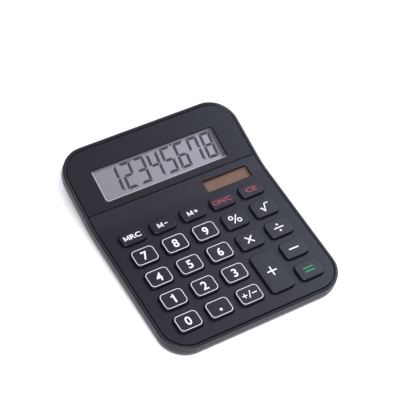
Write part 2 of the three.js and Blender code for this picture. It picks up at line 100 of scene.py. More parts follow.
# Cast opal acrylic with a satin face: an even white with no glare, which glows a little so
# that shadows on it stay soft.
opal_acrylic, out = new_finish("opal_acrylic")
lit_sheet = add_node(opal_acrylic, "ShaderNodeBsdfPrincipled", Base_Color=linear("#f4f4f6"),
                     Roughness=0.6, Emission_Color=linear("#fbfbff"), Emission_Strength=0.15)
opal_acrylic.node_tree.links.new(lit_sheet.outputs[0], out.inputs[0])
sweep_mesh = bpy.data.meshes.new("sweep")
sweep_mesh.from_pydata([(TABLE_REACH * x, TABLE_REACH * y, 0)
                        for x, y in ((-1, -1), (1, -1), (1, 1), (-1, 1))], [], [(0, 1, 2, 3)])
sweep_mesh.materials.append(opal_acrylic)
sweep = bpy.data.objects.new("sweep", sweep_mesh)
bpy.context.scene.collection.objects.link(sweep)

world = bpy.data.worlds.new("studio")
world.use_nodes = True
room = world.node_tree.nodes["Background"]
room.inputs["Color"].default_value = linear("#f4f6ff")
room.inputs["Strength"].default_value = 0.12
bpy.context.scene.world = world
for name, place, size, power, tint in (
    ("key_box", Vector((-0.42, -0.66, 1.20)), 0.7, 25.0, (1.0, 0.99, 1.0)),
    ("far_box", Vector((0.91, 0.22, 0.78)), 0.8, 7.3, (0.88, 0.93, 1.10)),
):
    lamp = bpy.data.lights.new(name, "AREA")
    lamp.color = tint
    lamp.shape = "SQUARE"
    lamp.size = size
    lamp.energy = power
    box_light = bpy.data.objects.new(name, lamp)
    box_light.matrix_world = Matrix.Translation(place) @ (
        (-place).to_track_quat("-Z", "Y").to_matrix().to_4x4())
    bpy.context.scene.collection.objects.link(box_light)

# ------------------------------------------------------------------ case frame
# The front moulding: a rim of fine-grained charcoal ABS that carries the two inlaid plates.
# Its top is a low bead. It is one section carried round the outline of the face, which
# bends up towards the display, so every piece of the face is placed with the same rule.
MM = 0.001
HALF_WIDTH = 52.45 * MM
FACE_LENGTH = 129.0 * MM
CASE_CORNER = 15.5 * MM
KEYPAD_TILT = math.radians(3.0)
DISPLAY_TILT = math.radians(13.8)
BEND_RADIUS = 50.0 * MM
BEND_START = 84.4 * MM - BEND_RADIUS * math.tan(DISPLAY_TILT / 2)
BEND_LENGTH = BEND_RADIUS * DISPLAY_TILT


def profile(s, n):
    """The bent face seen from the side: s along it from the front edge, n square to it."""
    y, z = s, n
    if s > BEND_START:
        a = min(s - BEND_START, BEND_LENGTH) / BEND_RADIUS
        rest = max(0.0, s - BEND_START - BEND_LENGTH)
        y = BEND_START + (BEND_RADIUS - n) * math.sin(a) + rest * math.cos(a)
        z = BEND_RADIUS - (BEND_RADIUS - n) * math.cos(a) + rest * math.sin(a)
    return (y * math.cos(KEYPAD_TILT) - z * math.sin(KEYPAD_TILT),
            y * math.sin(KEYPAD_TILT) + z * math.cos(KEYPAD_TILT))


RIM_WIDTH = 1.75 * MM
RIM_ROUND = 0.55 * MM
LIP_DEPTH = 4.0 * MM
FRONT_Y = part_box("case_frame")[0][1] - profile(0, -RIM_ROUND)[0]
FRONT_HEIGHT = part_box("case_frame")[0][2] - profile(RIM_WIDTH, -LIP_DEPTH)[1]


def on_face(x, s, n):
    """The point at x across, s along and n above the face, on the table's axes."""
    y, z = profile(s, n)
    return Vector((x, y + FRONT_Y, z + FRONT_HEIGHT))


BEND_STEPS = 24
BEND_STATIONS = [BEND_START + BEND_LENGTH * i / BEND_STEPS for i in range(BEND_STEPS + 1)]
WELD = 1e-7


def outline(half_width, start, end, front_radius, back_radius, steps=16, stations=()):
    """A rounded rectangle, counter-clockwise from the front edge, the same on both sides."""
    right = []
    for centre, radius, turn in ((start + front_radius, front_radius, -90),
                                 (end - back_radius, back_radius, 0)):
        if turn == 0:
            right += [(half_width, s) for s in stations
                      if start + front_radius < s - 1e-6 and s + 1e-6 < end - back_radius]
        count = steps if radius > 1e-7 else 0
        for i in range(count + 1):
            a = math.radians(turn + (90 * i / count if count else 0))
            right.append((half_width - radius + radius * math.cos(a),
                          centre + radius * math.sin(a)))
    return right + [(-x, s) for x, s in reversed(right)]


def loft(rings, closed=False):
    """Rings of points joined by quads; open ends are closed by strips across x."""
    shape = bmesh.new()
    rows = [[shape.verts.new(p) for p in ring] for ring in rings]
    count = len(rows[0])
    pairs = list(zip(rows, rows[1:] + rows[:1])) if closed else list(zip(rows, rows[1:]))
    for low, high in pairs:
        for i in range(count):
            j = (i + 1) % count
            shape.faces.new((low[i], low[j], high[j], high[i]))
    if not closed:
        for i in range(count // 2 - 1):
            j = count - 1 - i
            shape.faces.new((rows[0][i], rows[0][j], rows[0][j - 1], rows[0][i + 1]))
            shape.faces.new((rows[-1][i], rows[-1][i + 1], rows[-1][j - 1], rows[-1][j]))
    bmesh.ops.remove_doubles(shape, verts=shape.verts, dist=WELD)
    bmesh.ops.recalc_face_normals(shape, faces=shape.faces)
    return shape


def finished(name, shape, finishes, crease=28):
    """Turns the mesh in hand into an object of the scene, smooth up to the crease angle,
    with each corner's shading led by the largest face round it, so that flats stay flat."""
    mesh = bpy.data.meshes.new(name)
    shape.to_mesh(mesh)
    shape.free()
    for finish in finishes:
        mesh.materials.append(finish)
    mesh.shade_smooth()
    mesh.set_sharp_from_angle(angle=math.radians(crease))
    made = bpy.data.objects.new(name, mesh)
    bpy.context.scene.collection.objects.link(made)
    flat = made.modifiers.new("flat", "WEIGHTED_NORMAL")
    flat.keep_sharp = True
    flat.weight = 100
    graph = bpy.context.evaluated_depsgraph_get()
    made.data = bpy.data.meshes.new_from_object(made.evaluated_get(graph))
    made.data.name = name
    made.modifiers.clear()
    bpy.data.meshes.remove(mesh)
    return made


def moulded_abs(name, colour, roughness, grain_mm, depth, ior=1.52):
    """Injection-moulded ABS: an even dark colour with the fine dull grain of a spark-eroded
    mould, a faint cloudiness from the flow of the melt, and gloss that varies a little."""
    abs_plastic, out = new_finish(name)
    place = add_node(abs_plastic, "ShaderNodeTexCoord").outputs["Object"]
    grain = add_node(abs_plastic, "ShaderNodeTexNoise", Vector=place,
                     Scale=1 / (grain_mm * MM), Detail=3.0, Roughness=0.6)
    cloud = add_node(abs_plastic, "ShaderNodeTexNoise", Vector=place,
                     Scale=1 / (28 * MM), Detail=2.0, Roughness=0.5)
    dark, light = ([c * share for c in linear(colour)[:3]] + [1.0] for share in (0.88, 1.12))
    tint = add_node(abs_plastic, "ShaderNodeMix", {"data_type": "RGBA"},
                    i0=cloud.outputs["Fac"], i6=dark, i7=light)
    gloss = add_node(abs_plastic, "ShaderNodeMapRange", Value=grain.outputs["Fac"],
                     From_Min=0.3, From_Max=0.7, To_Min=roughness - 0.05,
                     To_Max=roughness + 0.05)
    bump = add_node(abs_plastic, "ShaderNodeBump", Height=grain.outputs["Fac"],
                    Strength=0.35, Distance=depth * MM)
    skin = add_node(abs_plastic, "ShaderNodeBsdfPrincipled",
                    Base_Color=tint.outputs[2], Roughness=gloss.outputs[0],
                    IOR=ior, Normal=bump.outputs[0])
    abs_plastic.node_tree.links.new(skin.outputs[0], out.inputs[0])
    return abs_plastic


def case_ring(inset, n):
    """The outline of the case at an inset from its edge and a height n above the face."""
    radius = CASE_CORNER - inset
    points = outline(HALF_WIDTH - inset, inset, FACE_LENGTH - inset, radius, radius,
                     stations=BEND_STATIONS)
    return [on_face(x, s, n) for x, s in points]


def quarter(centre_d, centre_n, radius, first, last, steps=5):
    """Points of a rounded edge of the section, as inset and depth in millimetres."""
    angles = [math.radians(first + (last - first) * i / steps) for i in range(steps + 1)]
    return [(centre_d - radius * math.cos(a), centre_n + radius * math.sin(a)) for a in angles]


# The case is duller than its plates, so its index lies below the 1.52 of bare ABS.
case_abs = moulded_abs("case_abs", "#28282f", 0.32, 0.25, 0.02, 1.34)
# Inset and height in millimetres: the ledge and lip under the plates, the outer face with
# its lower edge, the bead, and the round that drops into the groove.
rim_section = (
    [(1.75, -1.55), (4.6, -1.55), (4.6, -3.15), (3.0, -3.15), (3.0, -4.0), (1.75, -4.0),
     (1.75, -2.3), (0.35, -2.3)]
    + quarter(0.2, -2.1, 0.2, -90, 0, 3)
    + quarter(0.26, -0.56, 0.26, 0, 72)
    + [(0.6, -0.18), (0.9, -0.07), (1.1, -0.012)]
    + [(1.2 + 0.55 * math.cos(math.radians(a)), 0.4 * math.sin(math.radians(a)) - 0.4)
       for a in range(90, -1, -15)])
rim = finished("rim", loft([case_ring(d * MM, n * MM) for d, n in rim_section], True),
               [case_abs])
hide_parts("case_frame")
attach(rim, "case")

# ------------------------------------------------------------------ keypad plate
# The inlaid lower face: satin charcoal ABS with softened edges, a hole for every key and
# a window for the solar cell, four screw posts behind. Each hole is cut with its own
# broken edge, as the mould gives it.
PLATE = 1.4 * MM
PLATE_INSET = 2.2 * MM
SEAM_AT = 91.2 * MM
SEAM_HALF = 0.15 * MM
KEY_GAP = 0.35 * MM
GRID_X = 0.25 * MM
COLUMN_PITCH = 18.0 * MM
ROW_PITCH = 14.5 * MM
FIRST_ROW = 14.5 * MM
MEMORY_ROW = 71.2 * MM
KEY_HALF_WIDTH = 6.8 * MM
KEY_HALF_HEIGHT = 5.15 * MM
MEMORY_HALF_HEIGHT = 4.0 * MM
KEY_CORNER = 2.6 * MM
SOLAR_X, SOLAR_AT = GRID_X + 28.85 * MM, 83.4 * MM
SOLAR_HALF = (13.55 * MM, 3.5 * MM)
SOLAR_CORNER = 0.6 * MM
SCREW_X = 27.0 * MM
SCREW_PLACES = [(x, s * MM) for s in (36.25, 65.2) for x in (-SCREW_X, SCREW_X)]
POST_RADIUS, POST_END, POST_ROOT = 1.75, -6.15, -1.3
# Growth and height in millimetres, from the underside to the softened upper edge.
PLATE_LEVELS = ((0, -1.4), (0, -0.25), (-0.03, -0.12), (-0.1, -0.03), (-0.22, 0.0))

face_abs = moulded_abs("face_abs", "#14141e", 0.38, 0.22, 0.018)

key_places = {}
for column, name in enumerate(("mrc", "m_minus", "m_plus", "on_c", "ce")):
    key_places[name] = (GRID_X + (column - 2) * COLUMN_PITCH, MEMORY_ROW, MEMORY_HALF_HEIGHT)
for row, names in enumerate((("0", "point", "sign", None, "equals"),
                             ("1", "2", "3", None, "minus"),
                             ("4", "5", "6", "multiply", "divide"),
                             ("7", "8", "9", "percent", "root"))):
    for column, name in enumerate(names):
        if name:
            key_places[name] = (GRID_X + (column - 2) * COLUMN_PITCH,
                                FIRST_ROW + row * ROW_PITCH, KEY_HALF_HEIGHT)
key_places["plus"] = (GRID_X + COLUMN_PITCH, FIRST_ROW + ROW_PITCH / 2,
                      KEY_HALF_HEIGHT + ROW_PITCH / 2)


def tangent_frame(x, s):
    """Matrix that stands a shape drawn flat at the origin on the face at (x, s)."""
    a = KEYPAD_TILT + min(max(s - BEND_START, 0.0), BEND_LENGTH) / BEND_RADIUS
    return Matrix.Translation(on_face(x, s, 0)) @ Matrix.Rotation(a, 4, "X")


def block_rings(half_width, half_height, radius, levels, steps=10):
    """Rounded-rectangle rings at (outward growth, height) levels, drawn at the origin."""
    return [[Vector((x, y, n)) for x, y in outline(half_width + grow, -half_height - grow,
                                                   half_height + grow, radius + grow,
                                                   radius + grow, steps)]
            for grow, n in levels]


def window_cutter(x, s, half_width, half_height, radius, steps=10):
    """A punch for an opening in a plate, flared at the top to break the edge."""
    levels = [(0, -PLATE - MM), (0, -0.3 * MM), (0.04 * MM, -0.12 * MM), (0.15 * MM, 0.0),
              (0.35 * MM, 0.12 * MM), (0.35 * MM, MM)]
    shape = loft(block_rings(half_width, half_height, radius, levels, steps))
    shape.transform(tangent_frame(x, s))
    return shape


def plate_rings(start, end, front_radius, back_radius):
    """The rings of an inlaid plate between two places along the face."""
    half = HALF_WIDTH - PLATE_INSET
    rings = []
    for grow, n in PLATE_LEVELS:
        g = grow * MM
        points = outline(half + g, start - g, end + g, max(0.0, front_radius + g),
                         max(0.0, back_radius + g), stations=BEND_STATIONS)
        rings.append([on_face(x, s, n * MM) for x, s in points])
    return rings


def merged(shapes):
    """Several shapes as one, each used up."""
    whole = bmesh.new()
    for shape in shapes:
        part = bpy.data.meshes.new("part")
        shape.to_mesh(part)
        shape.free()
        whole.from_mesh(part)
        bpy.data.meshes.remove(part)
    return whole


def cut(body, cutter, operation="DIFFERENCE"):
    """The body with the cutter taken away, or added, as a new mesh."""
    solids = []
    for name, shape in (("cut_body", body), ("cut_tool", cutter)):
        mesh = bpy.data.meshes.new(name)
        shape.to_mesh(mesh)
        shape.free()
        solids.append(bpy.data.objects.new(name, mesh))
        bpy.context.scene.collection.objects.link(solids[-1])
    modifier = solids[0].modifiers.new("cut", "BOOLEAN")
    modifier.operation = operation
    modifier.solver = "EXACT"
    modifier.use_self = operation == "UNION"
    modifier.object = solids[1]
    graph = bpy.context.evaluated_depsgraph_get()
    result = bpy.data.meshes.new_from_object(solids[0].evaluated_get(graph))
    whole = bmesh.new()
    whole.from_mesh(result)
    for solid in solids:
        bpy.data.objects.remove(solid)
    return whole


def turned(pairs, steps=32):
    """A shape turned about the upright axis from (radius, height) pairs, in millimetres."""
    rings = [[Vector((r * MM * math.cos(2 * math.pi * i / steps),
                      r * MM * math.sin(2 * math.pi * i / steps), z * MM))
              for i in range(steps)] for r, z in pairs]
    shape = bmesh.new()
    rows = [[shape.verts.new(p) for p in ring] for ring in rings]
    for low, high in zip(rows, rows[1:]):
        for i in range(steps):
            j = (i + 1) % steps
            shape.faces.new((low[i], low[j], high[j], high[i]))
    shape.faces.new(list(reversed(rows[0])))
    shape.faces.new(rows[-1])
    bmesh.ops.remove_doubles(shape, verts=shape.verts, dist=WELD)
    bmesh.ops.recalc_face_normals(shape, faces=shape.faces)
    return shape


keypad_body = loft(plate_rings(PLATE_INSET, SEAM_AT - SEAM_HALF, CASE_CORNER - PLATE_INSET,
                               0.0))
punches = [window_cutter(x, s, KEY_HALF_WIDTH + KEY_GAP, half + KEY_GAP, KEY_CORNER + KEY_GAP)
           for x, s, half in key_places.values()]
punches.append(window_cutter(SOLAR_X, SOLAR_AT, *SOLAR_HALF, SOLAR_CORNER, 5))
keypad_body = cut(keypad_body, merged(punches))
posts = []
for x, s in SCREW_PLACES:
    post = turned([(POST_RADIUS, POST_END), (POST_RADIUS, POST_ROOT)])
    post.transform(tangent_frame(x, s))
    posts.append(post)
keypad = finished("keypad_face", merged([keypad_body] + posts), [face_abs])
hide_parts("keypad_plate")
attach(keypad, "case")

# ------------------------------------------------------------------ display plate
# The inlaid upper face: the same ABS from a smoother mould, a shade darker, with a
# rounded opening whose polished edge catches the light.
LCD_X, LCD_AT = GRID_X - 0.8 * MM, 104.95 * MM
LCD_HALF = (36.9 * MM, 9.55 * MM)
LCD_CORNER = 1.5 * MM
display_abs = moulded_abs("display_abs", "#0f0f17", 0.35, 0.3, 0.01)
display_body = loft(plate_rings(SEAM_AT + SEAM_HALF, FACE_LENGTH - PLATE_INSET, 0.0,
                                CASE_CORNER - PLATE_INSET))
display_body = cut(display_body, window_cutter(LCD_X, LCD_AT, *LCD_HALF, LCD_CORNER))
display_face = finished("display_face", display_body, [display_abs])
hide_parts("display_plate")
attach(display_face, "case")

# ------------------------------------------------------------------ keys
# Twenty-four caps of satin ABS with softened edges over a hidden flange. The digit keys
# carry a thin printed outline; every legend is pad-printed in a film of ink on the top.
KEY_RISE = 1.5 * MM
INK_FILM = 0.03 * MM
DIGIT, CAPITAL = 5.0, 2.9
OPERATOR, STROKE = 5.7, 0.78
FRAME_HALF, FRAME_CORNER, FRAME_LINE = (6.08 * MM, 4.46 * MM), 2.1 * MM, 0.32 * MM
# Growth and height in millimetres: the hidden flange, then the side and its rounded edge.
CAP_LEVELS = [(0.9, -2.5), (0.9, -1.7), (0, -1.7), (0, 1.1)] + [
    (-0.35 * (1 - math.cos(math.radians(a))), 1.15 + 0.35 * math.sin(math.radians(a)))
    for a in (0, 18, 36, 54, 72, 90)]
cap_abs = moulded_abs("cap_abs", "#1b1b25", 0.34, 0.2, 0.012)


def printed_ink(name, colour):
    """Pad-printed ink: a dense flat film, slightly uneven where the pad lifted."""
    ink, out = new_finish(name)
    place = add_node(ink, "ShaderNodeTexCoord").outputs["Object"]
    patch = add_node(ink, "ShaderNodeTexNoise", Vector=place, Scale=1 / (0.6 * MM),
                     Detail=2.0, Roughness=0.5)
    thin = [c * 0.86 for c in linear(colour)[:3]] + [1.0]
    cover = add_node(ink, "ShaderNodeMix", {"data_type": "RGBA"}, i0=patch.outputs["Fac"],
                     i6=thin, i7=linear(colour))
    film = add_node(ink, "ShaderNodeBsdfPrincipled", Base_Color=cover.outputs[2],
                    Roughness=0.5, IOR=1.5)
    ink.node_tree.links.new(film.outputs[0], out.inputs[0])
    return ink


white_ink = printed_ink("white_ink", "#f2f2f2")
red_ink = printed_ink("red_ink", "#a8474e")
green_ink = printed_ink("green_ink", "#1f9c58")


def ink_text(body, size, bold, width=None):
    """Lettering as a thin closed film, centred on the origin; size and width are in mm."""
    curve = bpy.data.curves.new("lettering", "FONT")
    curve.body = body
    curve.size = 1.0
    curve.offset = bold
    curve.extrude = 0.01
    curve.resolution_u = 6
    letters = bpy.data.objects.new("lettering", curve)
    bpy.context.scene.collection.objects.link(letters)
    graph = bpy.context.evaluated_depsgraph_get()
    mesh = bpy.data.meshes.new_from_object(letters.evaluated_get(graph))
    bpy.data.objects.remove(letters)
    shape = bmesh.new()
    shape.from_mesh(mesh)
    xs = [v.co.x for v in shape.verts]
    ys = [v.co.y for v in shape.verts]
    middle = Vector(((min(xs) + max(xs)) / 2, (min(ys) + max(ys)) / 2, 0))
    scale = size * MM / (max(ys) - min(ys))
    stretch = width * MM / (max(xs) - min(xs)) if width else scale
    for v in shape.verts:
        p = v.co - middle
        v.co = Vector((p.x * stretch, p.y * scale, INK_FILM if p.z > 0 else -INK_FILM))
    bmesh.ops.remove_doubles(shape, verts=shape.verts, dist=1e-8)
    return shape


def ink_bar(x, y, width, height, angle=0.0):
    """A printed bar, centred at (x, y) in mm, turned by an angle in degrees."""
    shape = loft(block_rings(width / 2 * MM, height / 2 * MM, min(width, height) * 0.12 * MM,
                             [(0, -INK_FILM), (0, INK_FILM)], 3))
    shape.transform(Matrix.Translation((x * MM, y * MM, 0))
                    @ Matrix.Rotation(math.radians(angle), 4, "Z"))
    return shape


def ink_dot(x, y, radius):
    """A printed round dot."""
    return moved(turned([(radius, -INK_FILM / MM), (radius, INK_FILM / MM)], 20), x, y)


def ink_ring(x, y, outer, inner):
    """A printed circle line."""
    rings = [[Vector(((x + r * math.cos(a)) * MM, (y + r * math.sin(a)) * MM, n))
              for a in [2 * math.pi * i / 28 for i in range(28)]]
             for r, n in ((outer, -INK_FILM), (outer, INK_FILM), (inner, INK_FILM),
                          (inner, -INK_FILM))]
    return loft(rings, True)


def ink_frame(half_width, half_height, radius, width):
    """The printed outline near the edge of a digit key."""
    levels = [(width / 2, -INK_FILM), (width / 2, INK_FILM), (-width / 2, INK_FILM),
              (-width / 2, -INK_FILM)]
    return loft(block_rings(half_width, half_height, radius, levels, 8), True)


def moved(shape, x, y):
    """A printed shape carried to (x, y) in mm."""
    shape.transform(Matrix.Translation((x * MM, y * MM, 0)))
    return shape


def printed_plus(x, y, size, width):
    """A plus sign as two crossed bars, the second one broken where the first passes."""
    arm = (size - width) / 2
    off = (size + width) / 4
    return [ink_bar(x, y, size, width), ink_bar(x, y + off, width, arm),
            ink_bar(x, y - off, width, arm)]


def printed_m(x):
    """A bold M of four bars, centred at x."""
    return [ink_bar(x - 1.27, 0, 0.56, CAPITAL), ink_bar(x + 1.27, 0, 0.56, CAPITAL),
            ink_bar(x - 0.62, 0.14, 2.7, 0.5, -65), ink_bar(x + 0.62, 0.14, 2.7, 0.5, 65)]


legends = {str(d): [ink_text(str(d), DIGIT, 0.018)] for d in range(10)}
legends["1"] = [ink_bar(0.45, 0, 1.0, DIGIT), ink_bar(-0.45, 1.42, 1.35, 0.62, 28)]
legends["mrc"] = printed_m(-3.4) + [moved(ink_text("RC", CAPITAL, 0.02, 6.3), 1.8, 0)]
legends["m_minus"] = printed_m(-1.5) + [ink_bar(1.95, 0.1, 1.8, 0.5)]
legends["m_plus"] = printed_m(-1.6) + printed_plus(1.95, 0.1, 2.1, 0.5)
legends["on_c"] = [ink_text("ON/C", CAPITAL, 0.01, 11.0)]
legends["ce"] = [ink_text("CE", CAPITAL, 0.01, 6.5)]
legends["point"] = [ink_dot(0.25, -1.4, 0.8)]
legends["plus"] = printed_plus(0, 0, OPERATOR, STROKE)
legends["minus"] = [ink_bar(0, 0, OPERATOR, STROKE)]
legends["equals"] = [ink_bar(0, 1.08, OPERATOR, 0.7), ink_bar(0, -1.08, OPERATOR, 0.7)]
legends["multiply"] = printed_plus(0, 0, OPERATOR, STROKE)
for bar in legends["multiply"]:
    bar.transform(Matrix.Rotation(math.radians(45), 4, "Z"))
legends["divide"] = [ink_bar(0, 0, OPERATOR, 0.72), ink_dot(0, 2.0, 0.62),
                     ink_dot(0, -2.0, 0.62)]
legends["percent"] = [ink_ring(-2.0, 1.3, 1.4, 0.78), ink_ring(2.0, -1.3, 1.4, 0.78),
                      ink_bar(0.1, 0, 6.0, 0.6, 57)]
legends["root"] = [ink_bar(-2.05, -0.1, 1.0, 0.5, 25), ink_bar(-1.1, -1.1, 2.7, 0.85, -66),
                   ink_bar(0.35, -0.15, 5.3, 0.6, 71), ink_bar(2.35, 2.25, 2.4, 0.6)]
legends["sign"] = printed_plus(-2.85, 0.1, 2.9, 0.55) + [
    ink_bar(0.1, 0.15, 4.5, 0.52, 66), ink_bar(2.85, 0.1, 2.8, 0.6)]

for name, (x, s, half) in key_places.items():
    cap = loft(block_rings(KEY_HALF_WIDTH, half, KEY_CORNER,
                           [(grow * MM, n * MM) for grow, n in CAP_LEVELS]))
    ink_shapes = legends[name]
    if name.isdigit() or name in ("point", "sign"):
        ink_shapes.append(ink_frame(*FRAME_HALF, FRAME_CORNER, FRAME_LINE))
    print_film = merged(ink_shapes)
    for v in print_film.verts:
        v.co.z += KEY_RISE
    for face in print_film.faces:
        face.material_index = 1
    key = merged([cap, print_film])
    key.transform(tangent_frame(x, s))
    ink = red_ink if name in ("on_c", "ce") else green_ink if name == "equals" else white_ink
    keytop = finished(f"cap_{name}", key, [cap_abs, ink])
    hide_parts(f"key_{name}")
    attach(keytop, f"key_{name}")

# ------------------------------------------------------------------ display glass and lens
# A sandwich of two glass sheets under a grey polariser, over a matt reflector. The sheet
# is painted greyer along its right and upper margins, a painted shadow of the frame, and
# its near left and lower edges carry a painted highlight. Its seven-segment figures lean
# forward a little, with a tick after every third place.
GLASS_TOP = -1.7 * MM
GLASS_HALF = (39.5 * MM, 12.15 * MM)
GLASS_THICK = 1.8 * MM
GLASS_CORNER = 0.3 * MM
LENS_HALF = (36.6 * MM, 9.25 * MM)
LENS_CORNER = 1.2 * MM
LENS_TOP, LENS_LOW = -0.55 * MM, -1.35 * MM
CUT_EDGE = 0.05 * MM

# A laminated plastic film: a flat silvery grey with a faint ripple that keeps its reflections
# soft. It is painted darker towards the left and lighter towards the right, a painted sheen
# that stands in for a reflection brighter on the right.
polariser, out = new_finish("grey_polariser")
place = add_node(polariser, "ShaderNodeTexCoord").outputs["Object"]
haze = add_node(polariser, "ShaderNodeTexNoise", Vector=place, Scale=1 / (18 * MM),
                Detail=2.0, Roughness=0.5)
sheen = add_node(polariser, "ShaderNodeTexNoise", Vector=place, Scale=1 / (0.12 * MM),
                 Detail=1.0, Roughness=0.5)
spot = add_node(polariser, "ShaderNodeSeparateXYZ", Vector=place)
# Painted sheen: the sheet's colour runs lighter from left to right, standing in for its brighter
# reflection on the right; the haze adds random cloudy tone on top.
painted_sheen_ramp = add_node(polariser, "ShaderNodeMapRange", Value=spot.outputs[0],
                 From_Min=LCD_X - LCD_HALF[0], From_Max=LCD_X + LCD_HALF[0])
haze_and_painted_sheen = add_node(polariser, "ShaderNodeMath", {"operation": "MULTIPLY_ADD"},
                i0=haze.outputs["Fac"], i1=0.2, i2=painted_sheen_ramp.outputs[0])
grey = add_node(polariser, "ShaderNodeMix", {"data_type": "RGBA"}, i0=haze_and_painted_sheen.outputs[0],
                i6=linear("#8f8b90"), i7=linear("#aaa7b2"))
# Painted light on the sheet's margins: the first two ramps paint shade along the right and upper
# margins, where the frame would shade them, and the last two paint a highlight along the left and
# lower edges.
painted_margins = []
for axis, side, first, last in ((0, 1, -4.0, -1.4), (1, 1, -1.6, 0.3),
                                (0, -1, 1.35, 0.95), (1, -1, 1.15, 0.75)):
    edge = (LCD_X, LCD_AT)[axis] + side * LCD_HALF[axis]
    first, last = (edge + d * MM if axis == 0 else on_face(0, edge + d * MM, GLASS_TOP)[1]
                   for d in (first, last))
    painted_margins.append(add_node(polariser, "ShaderNodeMapRange", Value=spot.outputs[axis],
                            From_Min=first, From_Max=last))
painted_shade_amount = add_node(polariser, "ShaderNodeMath", {"operation": "MAXIMUM"},
                  i0=painted_margins[0].outputs[0], i1=painted_margins[1].outputs[0])
painted_highlight_amount = add_node(polariser, "ShaderNodeMath", {"operation": "MAXIMUM"},
                  i0=painted_margins[2].outputs[0], i1=painted_margins[3].outputs[0])
painted_shade_colour = add_node(polariser, "ShaderNodeMix", {"data_type": "RGBA"}, i0=painted_shade_amount.outputs[0],
                  i6=grey.outputs[2], i7=linear("#4e5058"))
painted_highlight_colour = add_node(polariser, "ShaderNodeMix", {"data_type": "RGBA"}, i0=painted_highlight_amount.outputs[0],
                 i6=painted_shade_colour.outputs[2], i7=linear("#c6c4ca"))
ripple = add_node(polariser, "ShaderNodeBump", Height=sheen.outputs["Fac"],
                  Strength=0.2, Distance=0.01 * MM)
pane = add_node(polariser, "ShaderNodeBsdfPrincipled", Base_Color=painted_highlight_colour.outputs[2],
                Roughness=0.35, IOR=1.49, Normal=ripple.outputs[0])
polariser.node_tree.links.new(pane.outputs[0], out.inputs[0])

# Liquid crystal switched on: a soft charcoal, never quite black, a little uneven.
segment_tone, out = new_finish("switched_crystal")
place = add_node(segment_tone, "ShaderNodeTexCoord").outputs["Object"]
veil = add_node(segment_tone, "ShaderNodeTexNoise", Vector=place, Scale=1 / (1.2 * MM),
                Detail=2.0, Roughness=0.5)
tone = add_node(segment_tone, "ShaderNodeMix", {"data_type": "RGBA"}, i0=veil.outputs["Fac"],
                i6=linear("#34323c"), i7=linear("#403e49"))
crystal = add_node(segment_tone, "ShaderNodeBsdfPrincipled", Base_Color=tone.outputs[2],
                   Roughness=0.35, IOR=1.49)
segment_tone.node_tree.links.new(crystal.outputs[0], out.inputs[0])

FIGURE_HEIGHT = 15.4
FIGURE_WIDTH = 6.5
FIGURE_PITCH = 8.2
FIRST_FIGURE = -26.6
FIGURE_RISE = 0.75
FIGURE_LINE = 1.6
LEAN = math.tan(math.radians(4.3))
SEGMENTS = {"1": "bc", "2": "abged", "3": "abgcd", "4": "fgbc", "5": "afgcd", "6": "afgedc",
            "7": "fabc", "8": "abcdefg"}


def crystal_segment(points):
    """One segment as a thin closed plate from its corner points in millimetres."""
    shape = bmesh.new()
    low = [shape.verts.new(((x + y * LEAN) * MM, y * MM, -0.01 * MM)) for x, y in points]
    high = [shape.verts.new(((x + y * LEAN) * MM, y * MM, 0.02 * MM)) for x, y in points]
    shape.faces.new(high)
    shape.faces.new(list(reversed(low)))
    for i in range(len(points)):
        j = (i + 1) % len(points)
        shape.faces.new((low[i], low[j], high[j], high[i]))
    return shape


def figure(digit, middle):
    """The lit segments of one place of the display."""
    w, h, t, gap = FIGURE_WIDTH / 2, FIGURE_HEIGHT / 2, FIGURE_LINE, 0.22
    bars = {
        "a": [(-w + gap, h), (w - gap, h), (w - t, h - t), (-w + t, h - t)],
        "d": [(-w + t, -h + t), (w - t, -h + t), (w - gap, -h), (-w + gap, -h)],
        "g": [(-w + t * 0.6, 0), (-w + t * 1.1, t / 2), (w - t * 1.1, t / 2),
              (w - t * 0.6, 0), (w - t * 1.1, -t / 2), (-w + t * 1.1, -t / 2)],
        "b": [(w, h - gap), (w, gap), (w - t * 0.5, gap), (w - t, t / 2 + gap),
              (w - t, h - t - gap)],
        "c": [(w, -gap), (w, -h + gap), (w - t, -h + t + gap), (w - t, -t / 2 - gap),
              (w - t * 0.5, -gap)],
        "f": [(-w, h - gap), (-w + t, h - t - gap), (-w + t, t / 2 + gap),
              (-w + t * 0.5, gap), (-w, gap)],
        "e": [(-w, -gap), (-w + t * 0.5, -gap), (-w + t, -t / 2 - gap),
              (-w + t, -h + t + gap), (-w, -h + gap)],
    }
    return [crystal_segment([(x + middle, y) for x, y in bars[k]]) for k in SEGMENTS[digit]]


figures = []
for i in range(8):
    figures += figure(str(i + 1), FIRST_FIGURE + FIGURE_PITCH * i)
for after in (1, 4):
    x = FIRST_FIGURE + FIGURE_PITCH * (after + 0.5)
    figures.append(crystal_segment([(x - 0.5, 6.8), (x - 0.3, 6.7), (x + 0.45, 7.2),
                                    (x + 0.45, 8.1), (x - 0.5, 8.1)]))
lit = merged(figures)
lit.transform(Matrix.Translation((0, FIGURE_RISE * MM, 0)))
for face in lit.faces:
    face.material_index = 1
glass_block = loft(block_rings(*GLASS_HALF, GLASS_CORNER,
                               [(0, -GLASS_THICK), (0, -CUT_EDGE), (-CUT_EDGE, 0)], 3))
panel = merged([glass_block, lit])
panel.transform(tangent_frame(LCD_X, LCD_AT) @ Matrix.Translation((0, 0, GLASS_TOP)))
lcd_panel = finished("lcd_panel", panel, [polariser, segment_tone])
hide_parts("display_glass")
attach(lcd_panel, "case")

